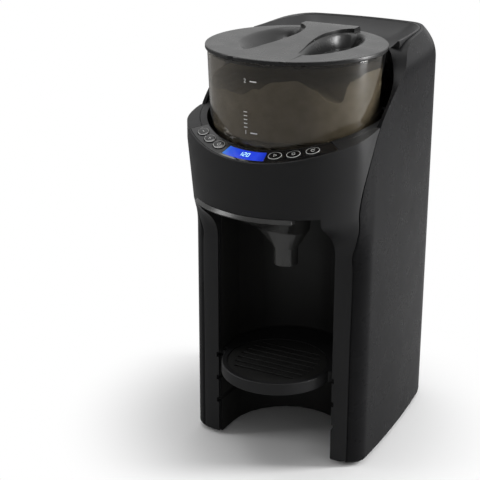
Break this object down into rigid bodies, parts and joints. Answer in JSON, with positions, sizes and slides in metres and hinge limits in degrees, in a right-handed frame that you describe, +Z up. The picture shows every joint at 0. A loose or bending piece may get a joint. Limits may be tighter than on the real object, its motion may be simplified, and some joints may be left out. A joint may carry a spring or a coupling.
{
  "type": "baby formula maker",
  "caption": "Counter-top machine with a nose and round alcove: a lift-off powder jar, a dosing wheel, a water tank, a drawer funnel, a bottle stand and a crescent control panel.",
  "frame": {"origin": "on the surface the machine stands on, under the middle of its bounding box", "axes": "+Z up, -Y out of the front with the control panel, +X to the right seen from the front"},
  "size_m": [0.163, 0.243, 0.3583],
  "materials": {
    "charcoal_satin_plastic": "fine satin moulding",
    "graphite_satin_plastic": "fine satin moulding",
    "black_matte_plastic": "matte moulding",
    "black_gloss_plastic": "high gloss",
    "display_window_blue": "backlit window",
    "grey_satin_plastic": "satin moulding",
    "smoke_clear_plastic": "clear smoke-tinted plastic",
    "water_tank_plastic": "clear plastic",
    "white_nylon": "moulded nylon",
    "silicone_seal": "silicone",
    "foot_rubber": "rubber",
    "plain_steel": "turned and plated",
    "cast_aluminium": "die cast",
    "circuit_board": "solder resist",
    "silicone_hose": "translucent silicone"
  },
  "bodies": {
    "machine": {"front_housing": "charcoal_satin_plastic", "rear_shell": "graphite_satin_plastic", "base_plate": "black_matte_plastic", "foot_front_left": "foot_rubber", "foot_front_right": "foot_rubber", "foot_rear_left": "foot_rubber", "foot_rear_right": "foot_rubber", "alcove_liner": "black_matte_plastic", "nose_floor": "black_matte_plastic", "control_fascia": "black_gloss_plastic", "display_window": "display_window_blue", "display_module": "black_matte_plastic", "control_board": "circuit_board", "top_deck": "charcoal_satin_plastic", "powder_chute": "white_nylon", "motor_bracket": "cast_aluminium", "drive_motor": "plain_steel", "tank_bay": "black_matte_plastic", "water_pump": "black_matte_plastic", "heater_block": "cast_aluminium", "water_nozzle": "white_nylon", "supply_hose": "silicone_hose", "feed_hose": "silicone_hose", "hot_hose": "silicone_hose", "main_board": "circuit_board", "power_inlet": "black_matte_plastic"},
    "jar": {"powder_container": "smoke_clear_plastic", "scraper_plate": "white_nylon"},
    "jar_lid": {"container_lid": "grey_satin_plastic"},
    "dosing": {"dosing_wheel": "white_nylon", "stirrer": "white_nylon"},
    "drive": {"drive_gear": "white_nylon", "drive_shaft": "plain_steel"},
    "pinion": {"motor_pinion": "plain_steel"},
    "funnel": {"funnel": "charcoal_satin_plastic"},
    "stand": {"bottle_stand": "charcoal_satin_plastic", "stand_plate": "black_matte_plastic"},
    "tank": {"water_tank": "water_tank_plastic"},
    "tank_cover": {"tank_lid": "graphite_satin_plastic"},
    "valve": {"valve_plunger": "silicone_seal"},
    "key_1": {"button_1": "black_gloss_plastic"},
    "key_2": {"button_2": "black_gloss_plastic"},
    "key_3": {"button_3": "black_gloss_plastic"},
    "key_4": {"button_4": "black_gloss_plastic"},
    "key_5": {"button_5": "black_gloss_plastic"},
    "key_6": {"button_6": "black_gloss_plastic"}
  },
  "joints": [
    {"name": "jar_lift", "type": "slide", "parent": "machine", "child": "jar", "axis": [0, 0, 1], "range_m": [0, 0.085]},
    {"name": "jar_lid_lift", "type": "slide", "parent": "jar", "child": "jar_lid", "axis": [0, 0, 1], "range_m": [0, 0.03]},
    {"name": "dosing_spin", "type": "hinge", "parent": "jar", "child": "dosing", "pos_m": [0, -0.032, 0.2812], "axis": [0, 0, 1], "continuous": true},
    {"name": "drive_spin", "type": "hinge", "parent": "machine", "child": "drive", "pos_m": [0, -0.032, 0.263], "axis": [0, 0, 1], "continuous": true},
    {"name": "pinion_spin", "type": "hinge", "parent": "machine", "child": "pinion", "pos_m": [0, -0.002, 0.263], "axis": [0, 0, 1], "continuous": true},
    {"name": "funnel_slide", "type": "slide", "parent": "machine", "child": "funnel", "axis": [0, -1, 0], "range_m": [0, 0.1]},
    {"name": "stand_slide", "type": "slide", "parent": "machine", "child": "stand", "axis": [0, -1, 0], "range_m": [0, 0.1]},
    {"name": "tank_lift", "type": "slide", "parent": "machine", "child": "tank", "axis": [0, 0, 1], "range_m": [0, 0.27]},
    {"name": "tank_cover_lift", "type": "slide", "parent": "tank", "child": "tank_cover", "axis": [0, 0, 1], "range_m": [0, 0.03]},
    {"name": "valve_travel", "type": "slide", "parent": "tank", "child": "valve", "axis": [0, 0, 1], "range_m": [0, 0.0015], "stiffness_N_per_m": 120, "springref_m": -0.001},
    {"name": "button_1_press", "type": "slide", "parent": "machine", "child": "key_1", "axis": [0, 0, -1], "range_m": [0, 0.0008], "stiffness_N_per_m": 600, "springref_m": -0.0004},
    {"name": "button_2_press", "type": "slide", "parent": "machine", "child": "key_2", "axis": [0, 0, -1], "range_m": [0, 0.0008], "stiffness_N_per_m": 600, "springref_m": -0.0004},
    {"name": "button_3_press", "type": "slide", "parent": "machine", "child": "key_3", "axis": [0, 0, -1], "range_m": [0, 0.0008], "stiffness_N_per_m": 600, "springref_m": -0.0004},
    {"name": "button_4_press", "type": "slide", "parent": "machine", "child": "key_4", "axis": [0, 0, -1], "range_m": [0, 0.0008], "stiffness_N_per_m": 600, "springref_m": -0.0004},
    {"name": "button_5_press", "type": "slide", "parent": "machine", "child": "key_5", "axis": [0, 0, -1], "range_m": [0, 0.0008], "stiffness_N_per_m": 600, "springref_m": -0.0004},
    {"name": "button_6_press", "type": "slide", "parent": "machine", "child": "key_6", "axis": [0, 0, -1], "range_m": [0, 0.0008], "stiffness_N_per_m": 600, "springref_m": -0.0004}
  ],
  "couplings": [
    {"joint": "drive_spin", "follows": "dosing_spin", "ratio": 1},
    {"joint": "pinion_spin", "follows": "dosing_spin", "ratio": -3}
  ]
}
